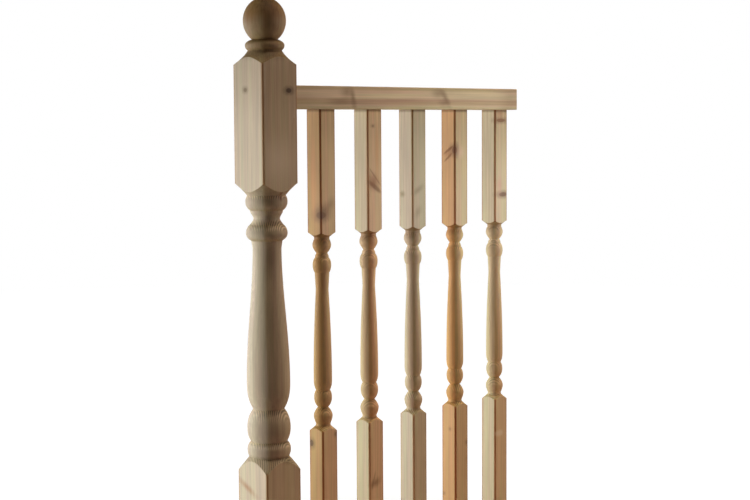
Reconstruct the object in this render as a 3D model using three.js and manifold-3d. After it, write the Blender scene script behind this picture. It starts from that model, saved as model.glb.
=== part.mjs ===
// Balustrade panel in turned softwood: a newel post with a ball cap, a handrail and a base rail that butt
// against it, and a row of turned spindles standing between the rails.
// Millimetres, +Z up. The origin is the centre of the newel's foot, the rails run along +X and Y is the depth.
import * as THREE from "three";
import { mergeVertices } from "three/addons/utils/BufferGeometryUtils.js";
import Module from "manifold-3d";

// Driving dimensions of the square timber
const newelWidth = 88;
const newelArris = 3;
const spindleWidth = 41;
const spindleArris = 3;
const spindleLength = 900;
const spindleCount = 5;
const railHeight = 46;
const railDepth = 62;
const railArris = 2;

// Driving dimensions of the layout
const firstGap = 80; // newel's face to the first spindle's face
const clearGap = 90; // face to face between spindles
const railRunOn = 21; // handrail and base rail past the last spindle's face
const newelUpperBlock = 230;
const blockAboveRail = 40; // top of the newel's upper block above the handrail
const spindleUpperBlock = 247;

// The turned stretch of each post, from its lower block up. A member rises by `rise`. `cut` is how deep its
// upper edge lies below the faces of the square, and `crown` how deep its crown or hollow, `crownAt` up it.
// A shoulder curves in by `hollow`. `full` and `slim` are how far a vase keeps its widest and its waist.
const newelTurning = {
  shoulder: { rise: 26, cut: 5, hollow: 0 },
  ring: { rise: 30, crownAt: 15, crown: 1.4, cut: 8.5 },
  bulb: { rise: 64, crownAt: 27, crown: 1.4, cut: 13.5 },
  vase: { rise: 316, crownAt: 50, crown: 1.4, cut: 15.8, full: 100, slim: 89 },
  flare: { rise: 15, cut: 13.6 },
  collar: { rise: 31, crownAt: 14.5, crown: 3.4, cut: 11 },
  cove: { rise: 23, crownAt: 12, crown: 18.2, cut: 13, lean: 0.7 },
  fillet: { rise: 5, cut: 11.6 },
  bead: { rise: 29, crownAt: 17, crown: 2.9, cut: 6.4 },
};
const newelUpperShoulder = { rise: 23, hollow: 1.4 };
const spindleTurning = {
  shoulder: { rise: 10, cut: 5.2, hollow: 0.4 },
  neck: { rise: 4, cut: 5.9 },
  bulb: { rise: 34, crownAt: 16.5, crown: 1.3, cut: 10, lean: 0.6 },
  bead: { rise: 34.5, crownAt: 20, crown: 2.3, cut: 6.4 },
  vase: { rise: 206, crownAt: 20, crown: 1.9, cut: 7.5, full: 101, slim: 11 },
  flare: { rise: 33, cut: 5.7 },
  collar: { rise: 30, crownAt: 15.5, crown: 1.8, cut: 6.3 },
  fillet: { rise: 4.5, cut: 7 },
  hollow: { rise: 5, cut: 9.4 },
  upperBead: { rise: 28, crownAt: 16, crown: 1.6, cut: 5, lean: 0.6 },
  upperNeck: { rise: 4.5, cut: 4.8 },
};
const spindleUpperShoulder = { rise: 8.5, hollow: 0.4 };

// The cap over the newel's upper block: a shoulder, a ring and a ball sunk into its neck
const capShoulder = { rise: 27, cut: 11.2, hollow: 3 };
const capRing = { rise: 21, crownAt: 9.5, crown: 5.8 };
const ballWidth = 83.3;
const ballHeight = 90;
const ballSunk = 9;

// Facets of the round stretches: around a post, up one curve of a member, up a vase's taper, up the ball
const newelFacets = { sides: 28, curve: 3, taper: 6, ball: 9 };
const spindleFacets = { sides: 16, curve: 2, taper: 3 };

const newelColour = 0xa79a7f;
const railColour = 0xa98f70;
const spindleColours = [0xb98f60, 0xb7a583, 0xb9ad96, 0xc09666, 0xc2b191];
const planedRoughness = 0.72;

// Heights that follow from the sizes above
const handrailBottom = railHeight + spindleLength;
const upperBlockTop = handrailBottom + railHeight + blockAboveRail;
const upperBlockBottom = upperBlockTop - newelUpperBlock;
const newelFace = newelWidth / 2;
const spindlePitch = spindleWidth + clearGap;
const firstSpindle = newelFace + firstGap + spindleWidth / 2;
const lastSpindle = firstSpindle + (spindleCount - 1) * spindlePitch;
const railLength = lastSpindle + spindleWidth / 2 + railRunOn - newelFace;

const wasm = await Module();
wasm.setup();

function toSolid(geometry) {
  geometry.deleteAttribute("normal");
  geometry.deleteAttribute("uv");
  const merged = mergeVertices(geometry, 1e-4);
  const vertProperties = merged.attributes.position.array;
  const triVerts = new Uint32Array(merged.index.array);
  return new wasm.Manifold(new wasm.Mesh({ numProp: 3, vertProperties, triVerts }));
}

function toGeometry(solid) {
  const { vertProperties, triVerts } = solid.getMesh();
  const geometry = new THREE.BufferGeometry();
  geometry.setAttribute("position", new THREE.BufferAttribute(vertProperties, 3));
  geometry.setIndex(new THREE.BufferAttribute(triVerts, 1));
  return geometry;
}

// Section of a planed timber: a rectangle about the origin with its four arrises eased
function planedSection(width, height, arris) {
  const x = width / 2;
  const y = height / 2;
  const section = new THREE.Shape();
  section.moveTo(x - arris, -y);
  section.lineTo(x, arris - y);
  section.lineTo(x, y - arris);
  section.lineTo(x - arris, y);
  section.lineTo(arris - x, y);
  section.lineTo(-x, y - arris);
  section.lineTo(-x, arris - y);
  section.lineTo(arris - x, -y);
  section.closePath();
  return section;
}

// Profiles are paths of (radius, height). A rise to a crown leaves at a slant and arrives upright, and the
// fall from it mirrors that, so one pair of curves makes a bead where the crown stands out and a cove where
// it lies in. The member's lean is how far along each curve its handle stands.
const usualLean = 0.38;

function addTo(profile, curve, facets) {
  profile.push(...curve.getPoints(facets).slice(1));
}

function riseToCrown(profile, radius, height, facets, lean = usualLean) {
  const start = profile.at(-1);
  const handle = new THREE.Vector2(radius, start.y + lean * (height - start.y));
  addTo(profile, new THREE.QuadraticBezierCurve(start, handle, new THREE.Vector2(radius, height)), facets);
}

function fallFromCrown(profile, radius, height, facets, lean = usualLean) {
  const start = profile.at(-1);
  const handle = new THREE.Vector2(start.x, height - lean * (height - start.y));
  addTo(profile, new THREE.QuadraticBezierCurve(start, handle, new THREE.Vector2(radius, height)), facets);
}

// The long taper of a vase, upright where it leaves its widest and where it reaches its waist
function taper(profile, radius, height, facets, { full, slim }) {
  const widest = profile.at(-1);
  const waist = new THREE.Vector2(radius, height);
  const low = new THREE.Vector2(widest.x, widest.y + full);
  const high = new THREE.Vector2(radius, height - slim);
  addTo(profile, new THREE.CubicBezierCurve(widest, low, high, waist), facets);
}

// A shoulder is a hollow cone between the turning and a square block. It meets the block's arrises at
// `blockHeight` and runs on past them by a share of its own length, so that the square cuts it in an arch
// on each face.
const shoulderRunOn = 0.25;

function shoulderCurve(neck, corner, blockHeight, hollow, facets) {
  const middleHeight = (neck.y + blockHeight) / 2;
  const handle = new THREE.Vector2((neck.x + corner) / 2 - 2 * hollow, middleHeight);
  const end = new THREE.Vector2(corner, blockHeight);
  const runOn = end.clone().sub(handle).multiplyScalar(2 * shoulderRunOn).add(end);
  return [...new THREE.QuadraticBezierCurve(neck, handle, end).getPoints(facets), runOn];
}

// The turned members of a post from the top of its lower block, as points of its profile
function turnedMembers(members, half, corner, blockHeight, facets) {
  const { shoulder, ...rest } = members;
  const neck = new THREE.Vector2(half - shoulder.cut, blockHeight + shoulder.rise);
  const profile = shoulderCurve(neck, corner, blockHeight, shoulder.hollow, facets.curve).reverse();
  for (const [name, member] of Object.entries(rest)) {
    const foot = profile.at(-1).y;
    const edge = half - member.cut;
    const top = foot + member.rise;
    if (member.crown === undefined) {
      profile.push(new THREE.Vector2(edge, top));
      continue;
    }
    riseToCrown(profile, half - member.crown, foot + member.crownAt, facets.curve, member.lean);
    if (name === "vase") taper(profile, edge, top, facets.taper, member);
    else fallFromCrown(profile, edge, top, facets.curve, member.lean);
  }
  return profile;
}

// Height that a set of members takes up
const totalRise = (members) => Object.values(members).reduce((sum, member) => sum + member.rise, 0);

// A square post turned between its blocks: the planed square where it and the turning overlap
function turnedPost(width, arris, height, profile, sides) {
  const square = new THREE.ExtrudeGeometry(planedSection(width, width, arris), {
    depth: height,
    bevelEnabled: false,
  });
  const round = new THREE.LatheGeometry(profile, sides).rotateX(Math.PI / 2);
  return toGeometry(toSolid(square).intersect(toSolid(round)));
}

function newelGeometry() {
  const half = newelFace;
  const corner = Math.hypot(half, half - newelArris);
  const { curve, sides } = newelFacets;
  const lowerBlockTop = upperBlockBottom - newelUpperShoulder.rise - totalRise(newelTurning);
  const members = turnedMembers(newelTurning, half, corner, lowerBlockTop, newelFacets);
  const upperShoulder = shoulderCurve(
    members.at(-1),
    corner,
    upperBlockBottom,
    newelUpperShoulder.hollow,
    curve,
  );
  const capNeck = new THREE.Vector2(half - capShoulder.cut, upperBlockTop + capShoulder.rise);
  const cap = shoulderCurve(capNeck, corner, upperBlockTop, capShoulder.hollow, curve).reverse();

  // The ball is an ellipse sunk into the ring below it, so its neck's radius is the ellipse's at that depth
  const ballFoot = capNeck.y + capRing.rise;
  const centre = ballFoot - ballSunk + ballHeight / 2;
  const neckAngle = -Math.asin(1 - ballSunk / (ballHeight / 2));
  const ball = new THREE.EllipseCurve(0, centre, ballWidth / 2, ballHeight / 2, neckAngle, Math.PI / 2);
  riseToCrown(cap, half - capRing.crown, capNeck.y + capRing.crownAt, curve);
  fallFromCrown(cap, ball.getPoint(0).x, ballFoot, curve);
  addTo(cap, ball, newelFacets.ball);

  const top = new THREE.Vector2(0, centre + ballHeight / 2);
  const profile = [
    new THREE.Vector2(0, 0),
    new THREE.Vector2(members[0].x, 0),
    ...members,
    ...upperShoulder.slice(1),
    ...cap.slice(0, -1),
    top,
  ];
  return turnedPost(newelWidth, newelArris, top.y, profile, sides);
}

function spindleGeometry() {
  const half = spindleWidth / 2;
  const corner = Math.hypot(half, half - spindleArris);
  const upperBlock = spindleLength - spindleUpperBlock;
  const lowerBlockTop = upperBlock - spindleUpperShoulder.rise - totalRise(spindleTurning);
  const members = turnedMembers(spindleTurning, half, corner, lowerBlockTop, spindleFacets);
  const upperShoulder = shoulderCurve(
    members.at(-1),
    corner,
    upperBlock,
    spindleUpperShoulder.hollow,
    spindleFacets.curve,
  );
  const profile = [
    new THREE.Vector2(0, 0),
    new THREE.Vector2(members[0].x, 0),
    ...members,
    ...upperShoulder.slice(1),
    new THREE.Vector2(upperShoulder.at(-1).x, spindleLength),
    new THREE.Vector2(0, spindleLength),
  ];
  return turnedPost(spindleWidth, spindleArris, spindleLength, profile, spindleFacets.sides);
}

// A rail is its section drawn in depth and height and run along +X
function railGeometry() {
  const section = planedSection(railDepth, railHeight, railArris);
  const alongX = new THREE.Matrix4().makeBasis(
    new THREE.Vector3(0, 1, 0),
    new THREE.Vector3(0, 0, 1),
    new THREE.Vector3(1, 0, 0),
  );
  const rail = new THREE.ExtrudeGeometry(section, { depth: railLength, bevelEnabled: false });
  return rail.applyMatrix4(alongX);
}

function timber(name, geometry, color, x, z) {
  const finish = new THREE.MeshStandardMaterial({ color, roughness: planedRoughness, metalness: 0 });
  const mesh = new THREE.Mesh(geometry, finish);
  mesh.name = name;
  mesh.position.set(x, 0, z);
  return mesh;
}

const panel = new THREE.Group();
panel.add(timber("newel_post", newelGeometry(), newelColour, 0, 0));
panel.add(timber("base_rail", railGeometry(), railColour, newelFace, railHeight / 2));
panel.add(timber("handrail", railGeometry(), railColour, newelFace, handrailBottom + railHeight / 2));
for (let i = 0; i < spindleCount; i++) {
  const colour = spindleColours[i % spindleColours.length];
  const along = firstSpindle + i * spindlePitch;
  panel.add(timber(`spindle_${i + 1}`, spindleGeometry(), colour, along, railHeight));
}

export default panel;
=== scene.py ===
# %% [markdown]
# # A stretch of balustrade in turned softwood
# A newel post with a ball cap, a handrail, a base rail and five turned spindles, all of them machined
# from pressure-treated pine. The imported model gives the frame: where each piece stands and how big it
# is. This lesson puts a finer mesh in the place of each piece and gives each one its own timber.
# Sizes are in millimetres and are turned into metres where a mesh is made. The lamps stand in metres.

# %% Load the frame
import math

import bpy
import numpy as np
from mathutils import Matrix, Vector


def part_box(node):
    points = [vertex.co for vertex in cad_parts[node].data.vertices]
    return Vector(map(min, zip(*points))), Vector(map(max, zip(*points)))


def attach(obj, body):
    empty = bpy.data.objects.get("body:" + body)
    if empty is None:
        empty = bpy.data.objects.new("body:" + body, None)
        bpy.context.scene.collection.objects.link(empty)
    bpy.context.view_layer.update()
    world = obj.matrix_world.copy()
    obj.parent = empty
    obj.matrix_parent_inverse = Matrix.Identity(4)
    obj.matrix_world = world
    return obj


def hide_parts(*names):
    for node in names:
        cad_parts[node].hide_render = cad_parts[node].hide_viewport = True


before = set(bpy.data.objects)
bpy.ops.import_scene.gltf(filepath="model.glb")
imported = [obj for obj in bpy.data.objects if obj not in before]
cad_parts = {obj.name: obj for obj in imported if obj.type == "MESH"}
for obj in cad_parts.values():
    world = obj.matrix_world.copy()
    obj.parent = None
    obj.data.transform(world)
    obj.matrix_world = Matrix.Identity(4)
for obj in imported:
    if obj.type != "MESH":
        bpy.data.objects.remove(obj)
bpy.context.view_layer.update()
MM = 0.001


def millimetres(node):
    """Lowest and highest corner of a node of the frame, in millimetres."""
    return [np.array(corner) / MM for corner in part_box(node)]


newel_low, newel_high = millimetres("newel_post")
handrail_low, handrail_high = millimetres("handrail")
base_low, base_high = millimetres("base_rail")
spindle_names = sorted(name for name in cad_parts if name.startswith("spindle_"))
spindle_boxes = {name: millimetres(name) for name in spindle_names}
print(len(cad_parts), "pieces; newel post", np.round(newel_high - newel_low), "mm")

# %% [markdown]
# ## The camera
# The photograph was taken from well in front of the newel's corner with a long lens, so both faces of
# every square post show. A pinhole camera was fitted to the posts' edges, which are straight and
# upright on the real panel. Setting the camera's matrix from its three directions is surer than
# aiming it with a constraint, because the small roll of the photograph comes with it.

# %% Camera
PHOTO_WIDTH, PHOTO_HEIGHT = 750, 500
FOCAL_PIXELS = 1584.7
SENSOR_WIDTH = 36
camera_place = Vector((-2001.3, -2352.0, 914.1)) * MM
yaw, pitch, roll = (math.radians(angle) for angle in (44.304, 4.51, -0.349))

forward = Vector((math.sin(yaw) * math.cos(pitch), math.cos(yaw) * math.cos(pitch), -math.sin(pitch)))
level = Vector((math.cos(yaw), -math.sin(yaw), 0))
upward = level.cross(forward)
camera_right = level * math.cos(roll) + upward * math.sin(roll)
camera_up = upward * math.cos(roll) - level * math.sin(roll)
camera_turn = Matrix((camera_right, camera_up, -forward)).transposed()

camera_data = bpy.data.cameras.new("camera")
camera_data.sensor_width = SENSOR_WIDTH
camera_data.lens = FOCAL_PIXELS / PHOTO_WIDTH * SENSOR_WIDTH
camera = bpy.data.objects.new("camera", camera_data)
camera.matrix_world = Matrix.Translation(camera_place) @ camera_turn.to_4x4()
bpy.context.scene.collection.objects.link(camera)
bpy.context.scene.camera = camera
print("lens", round(camera_data.lens, 1), "mm")


def seen_at(pixel, face_point, face_normal):
    """Where the ray through a pixel of the photograph meets a flat face, in metres."""
    column, row = pixel
    across, up = column - PHOTO_WIDTH / 2, PHOTO_HEIGHT / 2 - row
    ray = camera_turn @ Vector((across, up, -FOCAL_PIXELS))
    point, normal = Vector(face_point) * MM, Vector(face_normal)
    return camera_place + ray * ((point - camera_place).dot(normal) / ray.dot(normal))


# %% [markdown]
# ## Turned profiles
# Each post starts as a planed square. On the real one a shaped cutter turns the stretch between the
# blocks, and where the round meets the square it leaves an arch on each face. The members (beads,
# vase, collar, cove) are described by the same few sizes as in the model: `rise` is a member's height,
# `cut` how deep its upper edge lies below the faces, `crown` how deep its crown lies and `crownAt` how
# far up. Bezier curves between those points give a smooth bead, where a sphere or torus primitive
# would leave a seam at each join.

# %% Members of the newel and the spindles
newel_members = {
    "ring": dict(rise=30, crownAt=15, crown=1.4, cut=8.5),
    "bulb": dict(rise=64, crownAt=27, crown=1.4, cut=13.5),
    "vase": dict(rise=316, crownAt=50, crown=1.4, cut=15.8, full=100, slim=89),
    "flare": dict(rise=15, cut=13.6),
    "collar": dict(rise=31, crownAt=14.5, crown=3.4, cut=11),
    "cove": dict(rise=23, crownAt=12, crown=18.2, cut=13, lean=0.7),
    "fillet": dict(rise=5, cut=11.6),
    "bead": dict(rise=29, crownAt=17, crown=2.9, cut=6.4),
}
newel_shoulders = {
    "lower": dict(rise=26, cut=5, hollow=0),
    "upper": dict(rise=23, cut=6.4, hollow=1.4),
    "cap": dict(rise=27, cut=11.2, hollow=3),
}
cap_ring = dict(rise=21, crownAt=9.5, crown=5.8)
BALL_WIDTH, BALL_HEIGHT, BALL_SUNK = 83.3, 90, 9
NEWEL_UPPER_BLOCK = 230

spindle_members = {
    "neck": dict(rise=4, cut=5.9),
    "bulb": dict(rise=34, crownAt=16.5, crown=1.3, cut=10, lean=0.6),
    "bead": dict(rise=34.5, crownAt=20, crown=2.3, cut=6.4),
    "vase": dict(rise=206, crownAt=20, crown=1.9, cut=7.5, full=101, slim=11),
    "flare": dict(rise=33, cut=5.7),
    "collar": dict(rise=30, crownAt=15.5, crown=1.8, cut=6.3),
    "fillet": dict(rise=4.5, cut=7),
    "hollow": dict(rise=5, cut=9.4),
    "upper_bead": dict(rise=28, crownAt=16, crown=1.6, cut=5, lean=0.6),
    "upper_neck": dict(rise=4.5, cut=4.8),
}
spindle_shoulders = {
    "lower": dict(rise=10, cut=5.2, hollow=0.4),
    "upper": dict(rise=8.5, cut=4.8, hollow=0.4),
}
SPINDLE_UPPER_BLOCK = 247
# how much of a curve's rise its handle spans, and how far a shoulder's curve runs on past the arrises
USUAL_LEAN = 0.38
SHOULDER_RUN_ON = 0.25
# how far apart the points of a curve may lie, in millimetres
SHOULDER_SPACING = 0.5


def bezier(points, spacing):
    """Points of a Bezier curve of any degree, at least as close as the spacing, without the first."""
    points = np.array(points, float)
    length = np.linalg.norm(np.diff(points, axis=0), axis=1).sum()
    t = np.linspace(0, 1, max(2, math.ceil(length / spacing)) + 1)[1:, None]
    degree = len(points) - 1
    weights = (math.comb(degree, k) * t**k * (1 - t) ** (degree - k) for k in range(degree + 1))
    return sum(weight * point for weight, point in zip(weights, points))


def rise_to_crown(start, radius, height, lean, spacing):
    """The curve from a point up to a member's crown, upright where it arrives."""
    handle = (radius, start[1] + lean * (height - start[1]))
    return bezier([start, handle, (radius, height)], spacing)


def fall_from_crown(start, radius, height, lean, spacing):
    """The curve from a member's crown up to its upper edge, upright where it leaves."""
    handle = (start[0], height - lean * (height - start[1]))
    return bezier([start, handle, (radius, height)], spacing)


def member_rows(members, half, start, spacing):
    """(radius, height) of every row of the turned members, from a start point up."""
    rows = np.array([start])
    for member in members.values():
        foot = rows[-1][1]
        edge, top = half - member["cut"], foot + member["rise"]
        lean = member.get("lean", USUAL_LEAN)
        if "crown" not in member:
            rows = np.vstack([rows, bezier([rows[-1], (edge, top)], spacing)])
            continue
        crown = half - member["crown"]
        rows = np.vstack([rows, rise_to_crown(rows[-1], crown, foot + member["crownAt"], lean, spacing)])
        widest = rows[-1]
        if "full" in member:
            handles = [(crown, widest[1] + member["full"]), (edge, top - member["slim"])]
            rows = np.vstack([rows, bezier([widest, *handles, (edge, top)], 2 * spacing)])
        else:
            rows = np.vstack([rows, fall_from_crown(widest, edge, top, lean, spacing)])
    return rows


print("newel members rise", sum(m["rise"] for m in newel_members.values()), "mm")

# %% [markdown]
# ## One mesh for square and round
# A post could be a cylinder cut by a boolean, but booleans leave long thin triangles that shade badly.
# Here the post is a stack of rows, and every row has the same columns. The columns start as points of
# the square's outline, with the arrises rounded over as a hand feels them. A row in a block keeps that
# outline, a row in the turning puts the same columns on a circle, and on a shoulder the rows start
# from each column's own crossing of square and cone. So the arch on each face is a clean line of edges.

# %% Columns, shoulders and rows
# how far the edges of a sawn end are eased, in millimetres, and where the rings across the end lie
END_EASE = 0.7
END_RINGS = (0.0, 0.3, 0.6, 0.85)


def square_outline(half, arris, flat_steps, arris_steps):
    """Points anticlockwise round a square with rounded arrises."""
    inner = half - arris
    flat = [(half, inner * (2 * k / flat_steps - 1)) for k in range(flat_steps + 1)]
    turns = [math.pi / 2 * k / arris_steps for k in range(1, arris_steps)]
    corner = [(inner + arris * math.cos(a), inner + arris * math.sin(a)) for a in turns]
    side = np.array(flat + corner)
    quarter = np.array([[0, 1], [-1, 0]])
    return np.vstack([side @ np.linalg.matrix_power(quarter, k) for k in range(4)])


def shoulder_curve(shoulder, half, corner, block_edge, upwards):
    """A shoulder's (radius, height) from its neck to past the block's arrises."""
    rise = shoulder["rise"] if upwards else -shoulder["rise"]
    neck = np.array([half - shoulder["cut"], block_edge + rise])
    end = np.array([corner, block_edge])
    handle = (neck + end) / 2 - np.array([2 * shoulder["hollow"], 0])
    curve = np.vstack([neck, bezier([neck, handle, end], SHOULDER_SPACING)])
    return np.vstack([curve, end + 2 * SHOULDER_RUN_ON * (end - handle)])


def shoulder_rows(curve, reach, steps):
    """Rows from the crossing of square and cone, column by column, to the neck."""
    crossing = np.interp(reach, curve[:, 0], curve[:, 1])
    neck_height = curve[0][1]
    order = np.argsort(curve[:, 1])
    heights = [crossing + (neck_height - crossing) * k / steps for k in range(steps + 1)]
    return [(np.interp(z, curve[order, 1], curve[order, 0]), z) for z in heights]


def block_rows(reach, low, high, spacing):
    """Rows of a square block between two edges, each given for every column or for all."""
    low, high = np.broadcast_to(low, reach.shape), np.broadcast_to(high, reach.shape)
    steps = max(2, round(float(np.mean(high - low)) / spacing))
    return [(reach, low + (high - low) * k / steps) for k in range(steps + 1)]


def end_rows(reach, height, inward):
    """Rows of a sawn end from its middle to its eased edge. `inward` is +1 at a foot and -1 at a top."""
    flat = [(reach * share, np.full(reach.shape, height)) for share in END_RINGS]
    flat.append((reach - END_EASE, np.full(reach.shape, height)))
    return [*flat, (reach, np.full(reach.shape, height + inward * END_EASE))]


print("sawn ends are eased by", END_EASE, "mm")

# %% [markdown]
# ## From rows to an object
# Every piece here is a loft: rings of points joined by quads. numpy lays the points out and
# `from_pydata` makes the mesh in one go, which is far quicker than adding faces one by one with bmesh.
# Faces are shaded smooth and the edges that turn sharply are marked, so the beads are round and the
# quirks between them stay crisp.

# %% Loft
CREASE = math.radians(24)
# a ring narrower than this, in millimetres, is a point
POINT_WIDTH = 1e-6


def loft(name, rings):
    """An object from rings of points in millimetres. A ring with no width becomes one point."""
    points, starts, widths = [], [], []
    for ring in rings:
        single = np.ptp(ring, axis=0).max() < POINT_WIDTH
        starts.append(len(points))
        widths.append(1 if single else len(ring))
        points.extend(ring[:1] if single else ring)
    faces = []
    for k in range(len(rings) - 1):
        a, b, wide_a, wide_b = starts[k], starts[k + 1], widths[k], widths[k + 1]
        count = max(wide_a, wide_b)
        for j in range(count):
            n = (j + 1) % count
            if wide_a == 1:
                faces.append((a, b + n, b + j))
            elif wide_b == 1:
                faces.append((a + j, a + n, b))
            else:
                faces.append((a + j, a + n, b + n, b + j))
    mesh = bpy.data.meshes.new(name)
    mesh.from_pydata((np.array(points) * MM).tolist(), [], faces)
    mesh.shade_smooth()
    mesh.set_sharp_from_angle(angle=CREASE)
    piece = bpy.data.objects.new(name, mesh)
    bpy.context.scene.collection.objects.link(piece)
    return piece


def post_rings(rows, outline, centre):
    """Rings of a post from rows of (reach, height) along the directions of its outline."""
    direction = outline / np.linalg.norm(outline, axis=1)[:, None]
    x, y = direction.T
    return [np.column_stack([centre[0] + x * reach, centre[1] + y * reach, z]) for reach, z in rows]


def round_rows(profile, count):
    """Rows of a turned stretch, the same for every column."""
    return [(np.full(count, radius), np.full(count, height)) for radius, height in profile]


print("edges sharper than", round(math.degrees(CREASE)), "degrees stay crisp")

# %% [markdown]
# ## The newel post
# The newel is one piece from its foot to the ball. The ball is a little wider than it is tall above the
# ring it sits in, so it is drawn as an ellipse that starts where the ring ends.

# %% Newel post
NEWEL_ARRIS = 3
# how finely the newel is divided: columns on a flat and round an arris, and rows
NEWEL_FLAT_STEPS, NEWEL_ARRIS_STEPS = 30, 6
NEWEL_SHOULDER_STEPS = 14
NEWEL_SPACING, CAP_SPACING, NEWEL_BLOCK_SPACING = 1.6, 1.2, 8
BALL_ROWS = 64

newel_half = (newel_high[1] - newel_low[1]) / 2
newel_corner = math.hypot(newel_half, newel_half - NEWEL_ARRIS)
ball_foot = newel_high[2] - BALL_HEIGHT + BALL_SUNK
cap_neck = ball_foot - cap_ring["rise"]
newel_block_top = cap_neck - newel_shoulders["cap"]["rise"]
newel_block_bottom = newel_block_top - NEWEL_UPPER_BLOCK
turned_rise = sum(member["rise"] for member in newel_members.values())
turned_foot = newel_block_bottom - newel_shoulders["upper"]["rise"] - turned_rise
newel_lower_top = turned_foot - newel_shoulders["lower"]["rise"]

newel_outline = square_outline(newel_half, NEWEL_ARRIS, NEWEL_FLAT_STEPS, NEWEL_ARRIS_STEPS)
newel_reach = np.linalg.norm(newel_outline, axis=1)


def newel_shoulder(key, block_edge, upwards):
    """Rows of one of the newel's shoulders, from its block's edge to its neck."""
    curve = shoulder_curve(newel_shoulders[key], newel_half, newel_corner, block_edge, upwards)
    return shoulder_rows(curve, newel_reach, NEWEL_SHOULDER_STEPS)


def newel_rows():
    """All the newel's rows from its foot to the top of the ball."""
    reach, count = newel_reach, len(newel_outline)
    lower = newel_shoulder("lower", newel_lower_top, True)
    upper = newel_shoulder("upper", newel_block_bottom, False)[::-1]
    cap = newel_shoulder("cap", newel_block_top, True)
    turned = member_rows(newel_members, newel_half, (lower[-1][0][0], lower[-1][1][0]), NEWEL_SPACING)
    neck_angle = -math.asin(1 - BALL_SUNK / (BALL_HEIGHT / 2))
    ball_centre = newel_high[2] - BALL_HEIGHT / 2
    ball = [
        (BALL_WIDTH / 2 * math.cos(a), ball_centre + BALL_HEIGHT / 2 * math.sin(a))
        for a in np.linspace(neck_angle, math.pi / 2, BALL_ROWS)
    ]
    crown = (newel_half - cap_ring["crown"], cap_neck + cap_ring["crownAt"])
    ring = rise_to_crown((cap[-1][0][0], cap_neck), *crown, USUAL_LEAN, CAP_SPACING)
    ring = np.vstack([ring, fall_from_crown(crown, ball[0][0], ball_foot, USUAL_LEAN, CAP_SPACING)])
    return [
        *end_rows(reach, 0, 1),
        *block_rows(reach, END_EASE, lower[0][1], NEWEL_BLOCK_SPACING)[1:-1],
        *lower,
        *round_rows(turned[1:], count),
        *upper[1:],
        *block_rows(reach, upper[-1][1], cap[0][1], NEWEL_BLOCK_SPACING)[1:-1],
        *cap,
        *round_rows(ring, count),
        *round_rows(ball[1:], count),
    ]


newel_piece = loft("turned_newel_post", post_rings(newel_rows(), newel_outline, (0, 0)))
print("newel blocks", round(newel_lower_top), round(newel_block_bottom), round(newel_block_top))
print("newel faces", len(newel_piece.data.polygons))

# %% [markdown]
# ## The spindles
# Five spindles from the same cutter. Each is lofted in its own place, so each can have its own timber,
# and nothing is instanced that the photograph shows to be different.

# %% Spindles
SPINDLE_ARRIS = 3
SPINDLE_FLAT_STEPS, SPINDLE_ARRIS_STEPS = 14, 6
SPINDLE_SHOULDER_STEPS = 8
SPINDLE_SPACING, SPINDLE_BLOCK_SPACING = 1.5, 10


def spindle_rows(low, high, outline):
    """All the rows of the spindle in a box, from its foot to its top."""
    half = (high[0] - low[0]) / 2
    corner = math.hypot(half, half - SPINDLE_ARRIS)
    reach, count = np.linalg.norm(outline, axis=1), len(outline)
    block_bottom = high[2] - SPINDLE_UPPER_BLOCK
    rise = sum(member["rise"] for member in spindle_members.values())
    lower_top = block_bottom - spindle_shoulders["upper"]["rise"] - rise - spindle_shoulders["lower"]["rise"]
    curve = shoulder_curve(spindle_shoulders["lower"], half, corner, lower_top, True)
    lower = shoulder_rows(curve, reach, SPINDLE_SHOULDER_STEPS)
    curve = shoulder_curve(spindle_shoulders["upper"], half, corner, block_bottom, False)
    upper = shoulder_rows(curve, reach, SPINDLE_SHOULDER_STEPS)[::-1]
    turned = member_rows(spindle_members, half, (lower[-1][0][0], lower[-1][1][0]), SPINDLE_SPACING)
    return [
        *end_rows(reach, low[2], 1),
        *block_rows(reach, low[2] + END_EASE, lower[0][1], SPINDLE_BLOCK_SPACING)[1:-1],
        *lower,
        *round_rows(turned[1:], count),
        *upper[1:],
        *block_rows(reach, upper[-1][1], high[2] - END_EASE, SPINDLE_BLOCK_SPACING)[1:-1],
        *end_rows(reach, high[2], -1)[::-1],
    ]


spindle_pieces = {}
for name, (low, high) in spindle_boxes.items():
    spindle_half = (high[0] - low[0]) / 2
    outline = square_outline(spindle_half, SPINDLE_ARRIS, SPINDLE_FLAT_STEPS, SPINDLE_ARRIS_STEPS)
    centre = ((low[0] + high[0]) / 2, (low[1] + high[1]) / 2)
    rings = post_rings(spindle_rows(low, high, outline), outline, centre)
    spindle_pieces[name] = loft(f"turned_{name}", rings)
print("spindle faces", len(spindle_pieces["spindle_1"].data.polygons))

# %% [markdown]
# ## The rails
# The handrail and the base rail are planed sections cut square at both ends. Their arrises are only
# just eased, as a planer leaves them, so a bevel modifier on a box would do as well. The loft is used
# because it gives the same tidy rows as the posts.

# %% Rails
RAIL_ARRIS = 2
RAIL_FLAT_STEPS, RAIL_ARRIS_STEPS = 12, 5
RAIL_SPACING = 9
# the rail's outline starts as a square of half width 1, with this much of it left to the arris
ARRIS_SHARE = 0.25


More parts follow.
